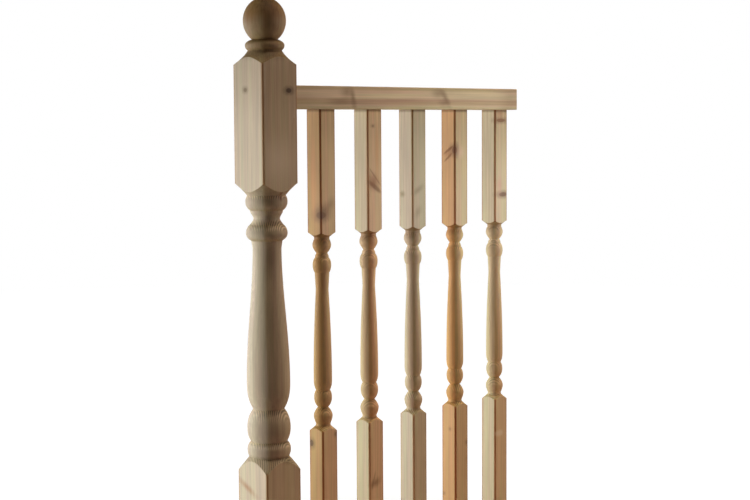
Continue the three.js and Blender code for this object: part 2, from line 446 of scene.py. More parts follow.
def rail_rings(low, high):
    """Rings of a rail along +X."""
    depth, height = high[1] - low[1], high[2] - low[2]
    outline = square_outline(1, ARRIS_SHARE, RAIL_FLAT_STEPS, RAIL_ARRIS_STEPS)
    half = np.array([depth, height]) / 2
    inner = half - RAIL_ARRIS
    flat_share = 1 - ARRIS_SHARE
    rounded = np.sign(outline) * (inner + (np.abs(outline) - flat_share) / ARRIS_SHARE * RAIL_ARRIS)
    eased = np.where(np.abs(outline) > flat_share, rounded, outline / flat_share * inner)
    middle = (low + high)[1:] / 2

    def ring(x, share, inset=0.0):
        """The section at x, drawn to a share of its size or inset by an eased edge."""
        flat = eased * share - np.sign(eased) * inset * (np.abs(eased) > inset)
        return np.column_stack([np.full(len(flat), x), middle + flat])

    near = [ring(low[0], share) for share in END_RINGS] + [ring(low[0], 1, END_EASE)]
    far = [ring(high[0], 1, END_EASE)] + [ring(high[0], share) for share in END_RINGS[::-1]]
    steps = round((high[0] - low[0]) / RAIL_SPACING)
    run = np.linspace(low[0] + END_EASE, high[0] - END_EASE, steps + 1)
    return [*near, *(ring(x, 1) for x in run), *far]


handrail_piece = loft("planed_handrail", rail_rings(handrail_low, handrail_high))
base_rail_piece = loft("planed_base_rail", rail_rings(base_low, base_high))
print("rail faces", len(handrail_piece.data.polygons))

# %% [markdown]
# ## Colour and nodes
# The colours are read as they look on a screen, so they are sRGB hex values. Shaders work in linear
# light, and one function turns the one into the other. One more function adds any node with its
# settings and its inputs, whether an input is a plain value or a link. The few settings that come back
# often (multiply a colour, mix a colour, rise smoothly) are kept under a name.

# %% Helpers for materials


def linear(hex_colour):
    """Linear RGBA of an sRGB hex colour."""
    parts = [int(hex_colour[k : k + 2], 16) / 255 for k in (1, 3, 5)]
    return [c / 12.92 if c <= 0.04045 else ((c + 0.055) / 1.055) ** 2.4 for c in parts] + [1.0]


def add(tree, kind, inputs=(), output=0, **settings):
    """Adds a node, sets it up, fills its inputs (a list in order, or by name) and gives one output."""
    node = tree.nodes.new("ShaderNode" + kind)
    for key, value in settings.items():
        setattr(node, key, value)
    for key, value in inputs.items() if isinstance(inputs, dict) else enumerate(inputs):
        if isinstance(value, bpy.types.NodeSocket):
            tree.links.new(value, node.inputs[key])
        else:
            node.inputs[key].default_value = value
    return node.outputs[output] if node.outputs else node


# the inputs of a Mix node that mixes colours
FACTOR, BELOW, ABOVE = 0, 6, 7
MIXED = dict(output=2, data_type="RGBA", blend_type="MIX")
MULTIPLIED = dict(output=2, data_type="RGBA", blend_type="MULTIPLY")
SMOOTH = dict(interpolation_type="SMOOTHSTEP")
VALUE = "Value"
print("a screen grey of half strength is", round(linear("#808080")[0], 3), "in linear light")

# %% [markdown]
# ## Growth rings
# Softwood is read by its rings: pale earlywood that darkens slowly into a thin band of latewood and
# then stops short. A picture of wood wrapped round the mesh would show the same stripes everywhere.
# The rings are built in three dimensions instead, round a pith that lies beside the post, so a planed
# face shows straight lines, a bead shows curved ones and a sawn end shows arcs. A slow noise lets them
# wander as a tree does, and each knot pushes them aside.

# %% Rings
LATEWOOD_SHARPNESS = 5
WANDER_WIDTH = 90
WANDER_STRETCH = 0.3


def growth_rings(tree, along_grain, timber, bend):
    """How far through its year the timber is at a place, from 0 to 1."""
    drawn = add(tree, "VectorMath", [along_grain, (1, 1, WANDER_STRETCH)], operation="MULTIPLY")
    wander = add(tree, "TexNoise", {"Vector": drawn, "Scale": 1 / WANDER_WIDTH, "Detail": 2.0}, "Color")
    reach = (timber["wander"],) * 3
    shift = [wander, reach, [-v / 2 for v in reach]]
    shift = add(tree, "VectorMath", shift, operation="MULTIPLY_ADD")
    drifting = add(tree, "VectorMath", [along_grain, shift], operation="ADD")
    from_pith = add(tree, "VectorMath", [drifting, (*timber["pith"], 0)], operation="SUBTRACT")
    flattened = add(tree, "VectorMath", [from_pith, (1, 1, timber["taper"])], operation="MULTIPLY")
    radius = add(tree, "VectorMath", [flattened], VALUE, operation="LENGTH")
    radius = add(tree, "Math", [radius, bend], operation="ADD")
    years = add(tree, "Math", [radius, timber["ring"]], operation="DIVIDE")
    return add(tree, "Math", [years], operation="FRACT")


print("the rings wander over", WANDER_WIDTH, "mm")

# %% [markdown]
# ## Fibres and tone
# Between the rings the eye sees streaks at several scales, all of them drawn out along the grain: fibres
# under a millimetre wide, darker strokes a few millimetres wide, broad bands where the board took the
# preservative more or less deeply, and slow patches. One noise texture does each, squeezed along the
# grain. Real fibres are far finer. They are drawn nearly a millimetre wide, so that they show close up.

# %% Tones
# width across the grain in millimetres, how much the noise is squeezed along it, detail
GRAIN_NOISES = {
    "fibre": (0.9, 0.012, 2.0),
    "stroke": (5.0, 0.02, 3.0),
    "band": (16.0, 0.03, 2.0),
    "patch": (45.0, 0.35, 3.0),
}
# most of a noise lies between these two values, where it leaves the wood this dark and this light
NOISE_LOW, NOISE_HIGH = 0.3, 0.7
TONES = {"fibre": (0.94, 1.06), "stroke": (0.9, 1.1), "band": (0.93, 1.07), "patch": (0.95, 1.05)}


def grain_noises(tree, along_grain):
    """The noises of the grain by name."""
    made = {}
    for name, (width, squeeze, detail) in GRAIN_NOISES.items():
        drawn = add(tree, "VectorMath", [along_grain, (1, 1, squeeze)], operation="MULTIPLY")
        settings = {"Vector": drawn, "Scale": 1 / width, "Detail": detail, "Roughness": 0.6}
        made[name] = add(tree, "TexNoise", settings)
    return made


def toned(tree, colour, noises):
    """The colour, darker and lighter as the noises go."""
    for name, (darkest, lightest) in TONES.items():
        level = add(tree, "MapRange", [noises[name], NOISE_LOW, NOISE_HIGH, darkest, lightest])
        grey = add(tree, "CombineColor", [level] * 3)
        colour = add(tree, "Mix", {FACTOR: 1.0, BELOW: colour, ABOVE: grey}, **MULTIPLIED)
    return colour


def ragged(tree, value, noise, amount):
    """The value, moved up and down by as much as half the amount as the noise goes."""
    shift = add(tree, "Math", [noise, amount, -amount / 2], operation="MULTIPLY_ADD")
    return add(tree, "Math", [value, shift], operation="ADD")


def away_from(tree, value, level):
    """How far the value is from a level, to either side."""
    away = add(tree, "Math", [value, level], operation="SUBTRACT")
    return add(tree, "Math", [away], operation="ABSOLUTE")


print("streaks", [width for width, *_ in GRAIN_NOISES.values()], "mm wide")

# %% [markdown]
# ## Knots and stains
# A knot is a branch that the board cuts across: dark and round, with fine rings of its own and a stain
# round it, and the rings of the board bend aside for it. A streak has a firm edge, as resin has, and a
# dusk is a stain that only fades out. A Mapping node of the kind TEXTURE moves, turns and scales space
# so that each mark becomes a ball of radius one, and one LENGTH node then gives the way out from its
# middle, which is all that the strength of the mark depends on.

# %% Marks in a material
# how many rings a knot has, and how much of its colour the palest part of a ring keeps
KNOT_RINGS, KNOT_PALEST = 2.6, 0.7
# how far out each kind of mark keeps its full strength, as a share of its radius
FULL_UP_TO = {"knot": 0.55, "streak": 0.35, "dusk": -0.2}
# how far the edge of a stain strays and where stains and the halo of a knot end, in the same units
STAIN_STRAYS, STAIN_ENDS = 0.9, 1.15
HALO_FROM, HALO_ENDS, HALO_STRENGTH = 0.6, 2.3, 0.55
# between which distances a knot's push on the rings dies away
PUSH_FROM, PUSH_ENDS = 0.4, 2.6


def mark_distances(tree, place, marks):
    """Each mark with the distance from its middle, in units of its own size."""
    found = []
    for mark in marks:
        shape = {"Vector": place, "Location": mark["at"], "Rotation": mark["turn"], "Scale": mark["radii"]}
        inside = add(tree, "Mapping", shape, vector_type="TEXTURE")
        found.append((mark, add(tree, "VectorMath", [inside], VALUE, operation="LENGTH")))
    return found


def with_marks(tree, colour, found, noises):
    """The colour with every knot and stain laid over it."""
    for mark, distance in found:
        strayed = ragged(tree, distance, noises["stroke"], STAIN_STRAYS)
        stain, strength, full = linear(mark["colour"]), mark["strength"], FULL_UP_TO[mark["kind"]]
        if mark["kind"] == "knot":
            fading = [strayed, HALO_FROM, HALO_ENDS, HALO_STRENGTH * strength, 0.0]
            halo = add(tree, "MapRange", fading, **SMOOTH)
            colour = add(tree, "Mix", {FACTOR: halo, BELOW: colour, ABOVE: stain}, **MIXED)
            year = add(tree, "Math", [distance, KNOT_RINGS], operation="MULTIPLY")
            year = add(tree, "Math", [year], operation="FRACT")
            year = add(tree, "MapRange", [year, 0, 1, KNOT_PALEST, 1.0])
            core = add(tree, "MapRange", [distance, full, 1.0, strength, 0.0], **SMOOTH)
            core = add(tree, "Math", [core, year], operation="MULTIPLY")
        else:
            core = add(tree, "MapRange", [strayed, full, STAIN_ENDS, strength, 0.0], **SMOOTH)
        colour = add(tree, "Mix", {FACTOR: core, BELOW: colour, ABOVE: stain}, **MIXED)
    return colour


def ring_bend(tree, found):
    """How far the knots push the rings aside, in millimetres."""
    bend = 0.0
    for mark, distance in found:
        if mark["kind"] == "knot":
            push = add(tree, "MapRange", [distance, PUSH_FROM, PUSH_ENDS, mark["bend"], 0.0], **SMOOTH)
            bend = add(tree, "Math", [push, bend], operation="ADD")
    return bend


print("kinds of mark:", *FULL_UP_TO)

# %% [markdown]
# ## Planed faces
# The timber looks like Scots pine, planed and then soaked under pressure in a copper preservative.
# Sapwood drinks the preservative and turns greenish, heartwood keeps its orange or pink, so a square
# post shows one tone on two of its faces and the other on the other two, with a ragged line between.
# One Mix node blends the two tones. Broad tinges and the streaks go over them, and last the rings,
# which stay faint and broken where the planer's knives ran along the grain.

# %% Planed wood
# each turns the timber so that its grain runs along Z: a post has it there, a rail has it along X
GRAIN_UP = Matrix.Identity(3)
GRAIN_ALONG = Matrix(((0, 1, 0), (0, 0, 1), (1, 0, 0)))
# how soft and how ragged the line between the two tones is, where one corner is at -1 and the other at 1
SIDE_SOFTNESS, SIDE_STRAYS = 0.1, 0.3
# between which values of the noise a pink tinge turns to a green one
TINGE_FROM, TINGE_TO = 0.42, 0.58
# where the rings fade out with the patches, and how much of them stays there
BROKEN_FROM, BROKEN_TO, BROKEN_LEFT = 0.35, 0.65, 0.3


def timber_place(tree, centre, grain):
    """Places on the timber in millimetres from its middle, with the grain along Z."""
    place = add(tree, "TexCoord", output="Object")
    back = grain @ Vector([-c for c in centre])
    shape = {"Vector": place, "Location": back, "Rotation": grain.to_euler(), "Scale": (1 / MM,) * 3}
    return place, add(tree, "Mapping", shape)


def side_blend(tree, along_grain, half, noises):
    """0 on the faces towards -X and +Y and 1 on the faces towards -Y and +X, by way of a ragged line."""
    across = (0.5 / half, -0.5 / half, 0)
    side = add(tree, "VectorMath", [along_grain, across], VALUE, operation="DOT_PRODUCT")
    side = ragged(tree, side, noises["band"], SIDE_STRAYS)
    return add(tree, "MapRange", [side, -SIDE_SOFTNESS, SIDE_SOFTNESS], **SMOOTH)


def planed_colour(tree, timber, along_grain, half, noises, latewood):
    """The colour of a planed face: sapwood to heartwood, tinged, streaked and with faint rings."""
    inputs = {BELOW: linear(timber["sap"]), ABOVE: linear(timber["heart"])}
    inputs[FACTOR] = side_blend(tree, along_grain, half, noises)
    colour = add(tree, "Mix", inputs, **MIXED)
    inputs = {BELOW: linear(timber["pink"]), ABOVE: linear(timber["green"])}
    inputs[FACTOR] = add(tree, "MapRange", [noises["band"], TINGE_FROM, TINGE_TO], **SMOOTH)
    tinge = add(tree, "Mix", inputs, **MIXED)
    colour = add(tree, "Mix", {FACTOR: timber["tinged"], BELOW: colour, ABOVE: tinge}, **MULTIPLIED)
    colour = toned(tree, colour, noises)
    broken = [noises["patch"], BROKEN_FROM, BROKEN_TO, BROKEN_LEFT, 1.0]
    broken = add(tree, "MapRange", broken, **SMOOTH)
    shown = add(tree, "Math", [broken, timber["planed"]], operation="MULTIPLY")
    faint = add(tree, "Math", [latewood, shown], operation="MULTIPLY")
    return add(tree, "Mix", {FACTOR: faint, BELOW: colour, ABOVE: linear(timber["latewood"])}, **MULTIPLIED)


print("the two tones blend over", SIDE_SOFTNESS, "of the way between their corners")

# %% [markdown]
# ## Turned wood and end grain
# Where the cutter turned the post it crossed the grain. On the slopes that look up the post it tore the
# soft earlywood and left the latewood standing, so dark and light lines show there, a ring apart. They
# are strongest at a few heights of the newel and die away towards its ball. Turned wood also took the
# preservative in another way than the planed faces, and sawn end grain drank more of it. The surface
# itself tells them apart: a place nearer the axis than the faces has been turned, and the normal says
# whether it slopes up the grain or stands square to it.

# %% Turned wood
# how deep below the faces the turned look begins and where it is full, in millimetres
TURNED_FROM, TURNED_WHOLLY = 0.4, 1.0
# how far a rough stretch reaches each way in millimetres, and how much it adds to the torn lines
TORN_REACH, TORN_MORE = 16, 0.22
# over what rise the torn lines die away on smoother wood, and what stays of them
TORN_FADE, TORN_LEFT = 20, 0.15
# between which shares of a ring the dark line turns to the light one
TEAR_FROM, TEAR_TO = 0.12, 0.38
# how far the surface faces along the grain where a slope begins and is full, and where end grain begins
SLOPE_FROM, SLOPE_WHOLLY, END_FROM = 0.1, 0.5, 0.45


def cut_masks(tree, along_grain, half, grain):
    """How turned, how upward and how square to the grain the surface is, and how near an arris."""
    sides = add(tree, "VectorMath", [along_grain], operation="ABSOLUTE")
    split = add(tree, "SeparateXYZ", [sides]).node.outputs
    widest = add(tree, "Math", [split["X"], split["Y"]], operation="MAXIMUM")
    narrow = add(tree, "Math", [split["X"], split["Y"]], operation="MINIMUM")
    turned = 0.0
    if grain is GRAIN_UP:
        depths = [half - TURNED_WHOLLY, half - TURNED_FROM]
        turned = add(tree, "MapRange", [widest, *depths, 1, 0], **SMOOTH)
    normal = add(tree, "NewGeometry", output="Normal")
    fibre_way = grain.transposed() @ Vector((0, 0, 1))
    facing = add(tree, "VectorMath", [normal, fibre_way], VALUE, operation="DOT_PRODUCT")
    slope = add(tree, "MapRange", [facing, SLOPE_FROM, SLOPE_WHOLLY], **SMOOTH)
    facing = add(tree, "Math", [facing], operation="ABSOLUTE")
    end = add(tree, "MapRange", [facing, END_FROM, 1.0], **SMOOTH)
    return turned, slope, end, narrow


def torn_lines(tree, timber, height, torn, tear):
    """The brightness of the torn lines, which is 1 where nothing is torn."""
    rougher = timber["torn"]
    for level in timber["torn_at"]:
        away = away_from(tree, height, level)
        here = add(tree, "MapRange", [away, TORN_REACH / 2, TORN_REACH, TORN_MORE, 0], **SMOOTH)
        rougher = add(tree, "Math", [here, rougher], operation="ADD")
    lines = add(tree, "MapRange", [tear, TEAR_FROM, TEAR_TO, -1, 1], **SMOOTH)
    level = add(tree, "Math", [lines, rougher, timber["fuzzy"]], operation="MULTIPLY_ADD")
    return add(tree, "Math", [level, torn, 1.0], operation="MULTIPLY_ADD")


print("turned wood begins", TURNED_FROM, "mm below the faces")

# %% [markdown]
# ## What changes from end to end
# Painted shade darkens each spindle where it meets the rails and on the turned neck under its upper
# block, the newel is browner above its upper block, and the handrail has a pinkish band along its face.
# Such a tint is a colour to multiply by. Along the grain it comes in smoothly between two heights, and
# across a rail it is a band with a ragged edge. Painted shade also darkens every post towards its
# arrises.

# %% Tints, bands and arrises
# how far from the corner the painted shade on an arris begins and is darkest, in radii of the arris
ARRIS_FROM, ARRIS_WHOLLY = 1.7, 0.7
# how ragged a band's edge is, and how much of its reach is full
BAND_STRAYS, BAND_FULL = 0.2, 0.3


def with_tints(tree, colour, timber, height, turned):
    """The colour with the tints that come in along the height, on all of the wood or on turned wood."""
    for low, high, tint, cut in timber["tints"]:
        reached = add(tree, "MapRange", [height, low, high], **SMOOTH)
        if cut == "turned":
            reached = add(tree, "Math", [reached, turned], operation="MULTIPLY")
        colour = add(tree, "Mix", {FACTOR: reached, BELOW: colour, ABOVE: linear(tint)}, **MULTIPLIED)
    return colour


def with_bands(tree, colour, timber, along_grain, half, noises):
    """The colour with a rail's bands, which are placed from -1 at its foot to 1 at its top."""
    level = add(tree, "VectorMath", [along_grain, (0, 1 / half, 0)], VALUE, operation="DOT_PRODUCT")
    level = ragged(tree, level, noises["stroke"], BAND_STRAYS)
    for middle, reach, tint in timber["bands"]:
        away = away_from(tree, level, middle)
        band = add(tree, "MapRange", [away, reach * BAND_FULL, reach, 1.0, 0.0], **SMOOTH)
        colour = add(tree, "Mix", {FACTOR: band, BELOW: colour, ABOVE: linear(tint)}, **MULTIPLIED)
    return colour


def with_painted_arris_shade(tree, colour, timber, narrow, half):
    """The colour of a post, with painted shade that darkens it towards its four arrises."""
    edge = (half - ARRIS_FROM * timber["arris"], half - ARRIS_WHOLLY * timber["arris"])
    arris_shade = add(tree, "MapRange", [narrow, *edge], **SMOOTH)
    return add(tree, "Mix", {FACTOR: arris_shade, BELOW: colour, ABOVE: linear(timber["arris_shade"])}, **MULTIPLIED)


print("an arris darkens from", ARRIS_FROM, "of its radius inwards")

# %% [markdown]
# ## Treated pine, all of it
# Wood is a plain dielectric: metallic 0, an IOR near 1.45 and a high roughness, for planing leaves a
# dry, matt surface that is a little rough along the fibres. The layers go over each other in this order:
# the rings and tones of the tree, the cut, the painted shade at the arrises, the tints and bands, and the
# marks. The relief is in millimetres: latewood stands a twentieth proud, fibres a little more, and a
# torn slope up to a third.

# %% Treated pine
RING_RELIEF, FIBRE_RELIEF, TORN_RELIEF = 0.05, 0.08, 0.6
# the roughness between the lowest and the highest fibres, and a sheen a little weaker than usual
MATT, MATTEST = 0.58, 0.8
FIBRE_LOW, FIBRE_HIGH = 0.25, 0.75
PINE_IOR, PINE_SPECULAR = 1.45, 0.35


def treated_pine(name, timber, centre, half, grain=GRAIN_UP):
    """The material of one timber."""
    material = bpy.data.materials.new(name)
    material.use_nodes = True
    tree = material.node_tree
    tree.nodes.clear()
    place, along_grain = timber_place(tree, centre, grain)
    noises = grain_noises(tree, along_grain)
    found = mark_distances(tree, place, timber["marks"])
    year = growth_rings(tree, along_grain, timber, ring_bend(tree, found))
    latewood = add(tree, "Math", [year, LATEWOOD_SHARPNESS], operation="POWER")
    height = add(tree, "VectorMath", [along_grain, (0, 0, 1)], VALUE, operation="DOT_PRODUCT")
    colour = planed_colour(tree, timber, along_grain, half, noises, latewood)

    # The cut: torn lines, turned wood and end grain
    turned, slope, end, narrow = cut_masks(tree, along_grain, half, grain)
    tear = add(tree, "Math", [year, 0.5], operation="PINGPONG")
    torn = add(tree, "Math", [slope, turned], operation="MULTIPLY")
    smoother = [height, timber["torn_below"], timber["torn_below"] + TORN_FADE, 1, TORN_LEFT]
    torn = add(tree, "Math", [torn, add(tree, "MapRange", smoother)], operation="MULTIPLY")
    grey = add(tree, "CombineColor", [torn_lines(tree, timber, height, torn, tear)] * 3)
    colour = add(tree, "Mix", {FACTOR: 1.0, BELOW: colour, ABOVE: grey}, **MULTIPLIED)
    colour = add(tree, "Mix", {FACTOR: turned, BELOW: colour, ABOVE: linear(timber["turned"])}, **MULTIPLIED)
    colour = add(tree, "Mix", {FACTOR: end, BELOW: colour, ABOVE: linear(timber["end"])}, **MULTIPLIED)

    # Painted shade at the arrises, then tints, bands and marks
    if grain is GRAIN_UP:
        colour = with_painted_arris_shade(tree, colour, timber, narrow, half)
    colour = with_tints(tree, colour, timber, height, turned)
    if timber["bands"]:
        colour = with_bands(tree, colour, timber, along_grain, half, noises)
    colour = with_marks(tree, colour, found, noises)

    # Relief and gloss
    relief = add(tree, "Math", [latewood, RING_RELIEF], operation="MULTIPLY")
    relief = add(tree, "Math", [noises["fibre"], FIBRE_RELIEF, relief], operation="MULTIPLY_ADD")
    deep = add(tree, "Math", [tear, torn], operation="MULTIPLY")
    relief = add(tree, "Math", [deep, TORN_RELIEF, relief], operation="MULTIPLY_ADD")
    bump = add(tree, "Bump", {"Height": relief, "Distance": MM})
    roughness = add(tree, "MapRange", [noises["fibre"], FIBRE_LOW, FIBRE_HIGH, MATT, MATTEST])
    finish = {"Base Color": colour, "Roughness": roughness, "Normal": bump, "IOR": PINE_IOR}
    surface = add(tree, "BsdfPrincipled", {**finish, "Specular IOR Level": PINE_SPECULAR})
    add(tree, "OutputMaterial", {"Surface": surface})
    return material


print("roughness", MATT, "to", MATTEST)

# %% [markdown]
# ## Marks in the timber
# Knots, streaks and stains sit where the photograph shows them, because they are what makes this panel
# that panel. Each has a name and is given by the surface it lies on (the left or right face, the arris
# between them or the turned front) and its pixel in the photograph, and `seen_at` carries it there.
# After its kind come its radii in millimetres across the surface and up it, its colour, its strength
# from 0 to 1, and where it leans, by how many degrees. A few broad ones are painted shade and painted
# light: shade on the right face of the newel's lower shoulder and towards the handrail's two ends, and
# light low on the right face of the upper block. Others darken the cap under the ball and the ball's top,
# and warm the ball's left side. The far sides, which the photograph doesn't show, have rings and tones
# alone.

# %% Marks
# how deep a mark goes under its face in millimetres, where the turned front lies between axis and face,
# and how far a knot bends the rings for each millimetre of its size
MARK_DEPTH = 9
TURNED_FRONT = 0.45
BEND_SHARE = 0.25
DARK_KNOT, BROWN, PALE_STAIN = "#463324", "#77583a", "#8c7d5c"


def mark_on(post, half, face, pixel, kind, wide, tall, colour, strength, lean=0):
    """A mark at a pixel, on a face, the front arris or the turned front of a post."""
    x, y = post
    near = TURNED_FRONT * half
    points = {
        "left": (x - half, y, 0),
        "right": (x, y - half, 0),
        "arris": (x - half, y - half, 0),
        "turned": (x - near, y - near, 0),
    }
    normals = {"left": (-1, 0, 0), "right": (0, -1, 0), "arris": (-1, -1, 0), "turned": (-1, -1, 0)}
    radii = {"left": (MARK_DEPTH, wide, tall), "right": (wide, MARK_DEPTH, tall)}
    tilt = math.radians(lean)
    turns = {"left": (tilt, 0, 0), "right": (0, tilt, 0)}
    return dict(
        kind=kind,
        at=seen_at(pixel, points[face], normals[face]),
        turn=turns.get(face, (0, 0, 0)),
        radii=Vector(radii.get(face, (wide, wide, tall))) * MM,
        colour=colour,
        strength=strength,
        bend=BEND_SHARE * (wide + tall),
    )


post_marks = {
    "newel": {
        "pale_knot": ("left", (245.2, 90), "knot", 6, 5, "#6f5a3a", 0.65),
        "dark_knot": ("right", (288.8, 90.5), "knot", 8.5, 5.5, "#452a12", 0.95),
        "chipped_bead": ("turned", (281.5, 196.5), "streak", 7, 10, "#7a3f22", 0.7),
        "foot_stroke": ("left", (247, 487), "dusk", 10, 42, "#b07850", 0.75, -62),
        "cap_shade": ("turned", (264, 54), "dusk", 60, 17, "#4a3820", 0.45),
        "ball_top_shade": ("turned", (266, 6), "dusk", 40, 44, "#5f3c1c", 0.7),
        "ball_left_shade": ("left", (249, 16), "dusk", 30, 26, "#9a6228", 0.5),
        # painted shade on the right face of the lower shoulder
        "lower_shoulder_painted_shade": ("right", (291, 459), "dusk", 22, 12, "#4a3c22", 0.7),
        # painted light: a paler patch low on the right face of the upper block
        "painted_light_patch": ("right", (277, 160), "dusk", 60, 60, "#dcc0a2", 0.5),
    },
    "spindle_1": {
        "arris_knot": ("arris", (321, 215.5), "knot", 17, 9, "#4b2e24", 0.6),
        "arris_knot_stain": ("arris", (321, 213), "dusk", 26, 28, "#74543a", 0.6),
        "arris_knot_tail": ("right", (329, 206), "dusk", 16, 30, "#7a5a3e", 0.45, 50),
        "orange_stripe": ("left", (313.5, 180), "streak", 9, 95, "#d39a66", 0.45),
        "foot_knot": ("left", (311.6, 443), "knot", 7, 8, DARK_KNOT, 0.75),
        "foot_edge_knot": ("right", (336, 434), "knot", 5, 5, DARK_KNOT, 0.4),
    },
    "spindle_2": {
        "speck": ("right", (372.8, 126), "knot", 4, 3, BROWN, 0.5),
        "branch_stain": ("right", (373.5, 182), "dusk", 22, 24, "#9a6c46", 0.9, -30),
        "branch_upper": ("right", (375.5, 177.5), "streak", 2.5, 32, "#7c5230", 0.45, -42),
        "branch_lower": ("right", (375, 187), "streak", 6, 27, "#744a2a", 0.65, -56),
        "orange_stripe": ("right", (377, 150), "streak", 6, 75, "#c98d5a", 0.45),
        "pink_stripe": ("left", (366.6, 165), "streak", 5, 120, "#c79c7c", 0.4),
        "foot_stain": ("right", (375, 483), "dusk", 24, 12, BROWN, 0.8, -20),
        "foot_stroke": ("right", (374, 479.5), "streak", 20, 3, BROWN, 0.5, -75),
    },
    "spindle_3": {
        "left_stain": ("left", (402.4, 194), "dusk", 11, 9, PALE_STAIN, 0.8),
        "right_stain": ("right", (418, 190), "dusk", 9, 26, PALE_STAIN, 0.7, 60),
        "low_stain": ("right", (418, 212), "dusk", 12, 20, PALE_STAIN, 0.6, 30),
    },
    "spindle_4": {
        "arris_knot": ("arris", (454.5, 150), "knot", 9, 10, "#552c15", 0.85),
        "arris_knot_stain": ("arris", (454.5, 151), "dusk", 18, 22, "#8a5a36", 0.6),
        "swirl_upper": ("left", (449, 149.5), "streak", 3.5, 21, "#784821", 0.75, 58),
        "swirl_lower": ("left", (448.5, 157), "streak", 3, 18, "#784821", 0.65, 52),
        "swirl_stain": ("left", (448, 154), "dusk", 14, 9, "#a0683a", 0.5),
        "pale_surround": ("right", (461, 152), "dusk", 16, 18, "#d8b090", 0.5),
        "foot_speck": ("left", (450, 429), "knot", 4, 4, BROWN, 0.35),
        "low_speck": ("left", (444, 493), "knot", 4, 4, BROWN, 0.35),
        "edge_knot": ("right", (467, 442), "knot", 5, 5, BROWN, 0.6),
    },
    "spindle_5": {
        "upper_knot": ("right", (500.8, 120.3), "knot", 18, 5, "#7d5030", 0.8),
        "upper_knot_stain": ("right", (500.5, 113.5), "dusk", 24, 16, "#a8714e", 0.6),
        "lower_knot": ("right", (503, 194.3), "knot", 16, 6, "#74492c", 0.9),
        "lower_knot_stain": ("right", (499.5, 185), "dusk", 13, 26, "#c98f74", 0.6),
        "pale_foot": ("right", (499, 433), "streak", 16, 9, "#d8c8a6", 0.5),
        "upper_arris_stroke": ("arris", (495.5, 120), "streak", 5, 34, "#84502f", 0.6),
        "arris_stripe": ("arris", (494.6, 165), "streak", 4, 110, "#a06c48", 0.45),
    },
}

# the colour of the handrail's stains and of the painted shade at its ends
STAIN_AND_SHADE_ON_RAIL = "#7a5a3e"
# the pixel, the radii in millimetres along the rail and up it, the strength and the lean in degrees
stains_and_shades_on_rail = {
    "left_top": ((347.0, 92), 26, 20, 0.6),
    "left_tail": ((353.2, 98.5), 10, 30, 0.75, -12),
    "left_foot": ((341, 101.5), 44, 11, 0.5),
    "right_top": ((438.5, 93.5), 28, 18, 0.5),
    "right_tail": ((445.7, 98.6), 11, 33, 0.65, -38),
    "right_foot": ((444, 103), 24, 12, 0.5),
    # painted shade towards the handrail's two ends
    "end_painted_shade": ((511, 98), 60, 60, 0.3),
    "start_painted_shade": ((300, 97), 50, 60, 0.13),
}


def rail_mark(pixel, wide, tall, strength, lean=0):
    """A stain across the handrail's front face, or painted shade towards one of its ends."""
    at = seen_at(pixel, (0, handrail_low[1], 0), (0, -1, 0))
    radii, turn = Vector((wide, MARK_DEPTH, tall)) * MM, (0, math.radians(lean), 0)
    return dict(kind="dusk", at=at, turn=turn, radii=radii, colour=STAIN_AND_SHADE_ON_RAIL, strength=strength)


print(sum(map(len, post_marks.values())), "marks on the posts and", len(stains_and_shades_on_rail), "on the handrail")

# %% [markdown]
# ## A timber for every piece
# All the pieces are the same treated pine, but no two boards are alike. The first and fourth spindles
# are warm heartwood, the second and fifth took the green treatment on their left faces, the third is
# greyer, and the rail is pinkish. What all share is in `common`, and each timber changes what is its
# own: `pith` is where the tree's centre lies beside the piece, `ring` how wide a year's growth is and
# `wander` how far the rings stray, all in millimetres, and `taper` how fast they close in along the
# grain. `planed` and `torn` say how strongly the rings show on planed and on turned wood, `torn_at` at
# which heights they are torn more, `torn_below` up to which height, and `fuzzy` how much paler loose
# fibres make the torn wood. `sap` and `heart` are the tones of the faces. All other colours are ones to
# multiply by: `turned` on turned wood, `end` on end grain, and painted shade at the arrises.

# %% Timbers
common = dict(
    latewood="#b98a5c",
    turned="#ffffff",
    end="#eeebd2",
    pink="#fff2ea",
    green="#f2fae2",
    tinged=0.6,
    # painted shade at the arrises of every post
    arris_shade="#e0c0a4",
    planed=0.22,
    torn=0.22,
    torn_at=[],
    torn_below=900,
    fuzzy=0.15,
    tints=[],
    wander=9,
    taper=0.012,
    ring=3.4,
    arris=3,
    bands=[],
)
